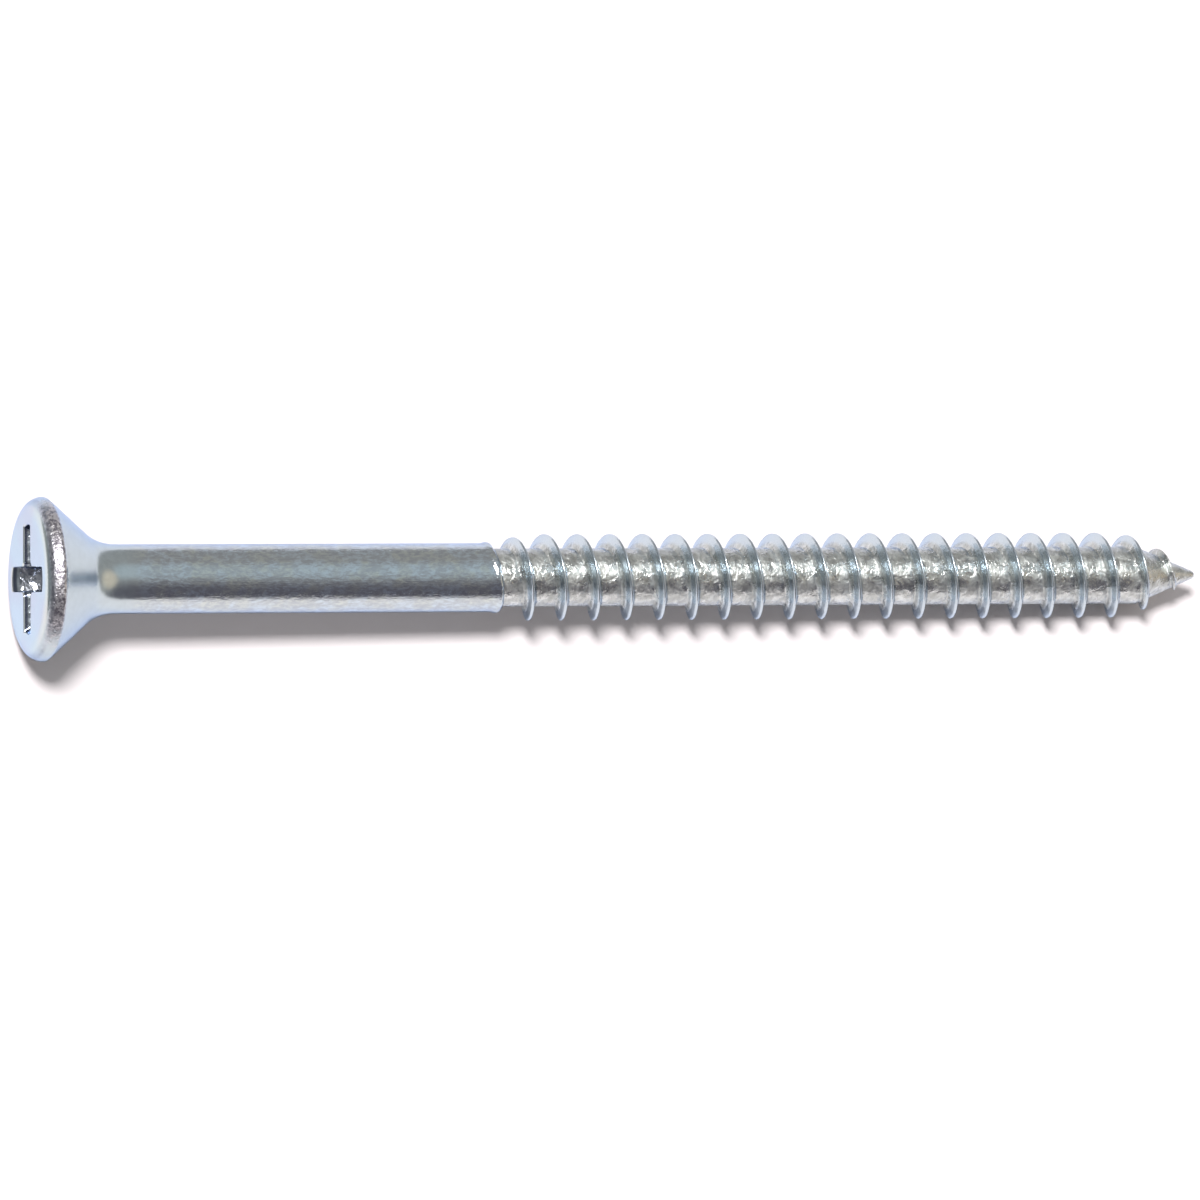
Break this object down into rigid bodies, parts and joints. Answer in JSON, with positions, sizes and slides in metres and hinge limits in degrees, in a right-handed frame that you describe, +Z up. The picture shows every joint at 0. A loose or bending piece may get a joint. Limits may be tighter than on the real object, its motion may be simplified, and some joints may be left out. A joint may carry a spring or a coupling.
{
  "type": "wood screw",
  "caption": "Countersunk wood screw with a cross recess, a plain round shank, a coarse right-handed rolled thread and a gimlet point, in bright zinc-plated steel.",
  "frame": {"origin": "centre of the head's flat face, on the screw's axis", "axes": "+X along the screw's axis from the head to the point, +Z up as the screw lies on a bench, the cross recess's slots turned 25 degrees about X from Y and Z"},
  "size_m": [0.0762, 0.0102, 0.0102],
  "materials": {
    "headed_zinc": "cold-headed steel with bright blue-white zinc plating, a pitted rim and small tool marks",
    "drawn_zinc": "drawn steel wire with bright blue-white zinc plating, finely mottled with faint lengthwise marks",
    "rolled_zinc": "rolled steel thread with bright blue-white zinc plating, pitted and slightly rough between the ridges"
  },
  "bodies": {
    "root": {"head": "headed_zinc", "shank": "drawn_zinc", "thread_root": "rolled_zinc", "thread": "rolled_zinc", "point": "rolled_zinc"}
  },
  "joints": []
}
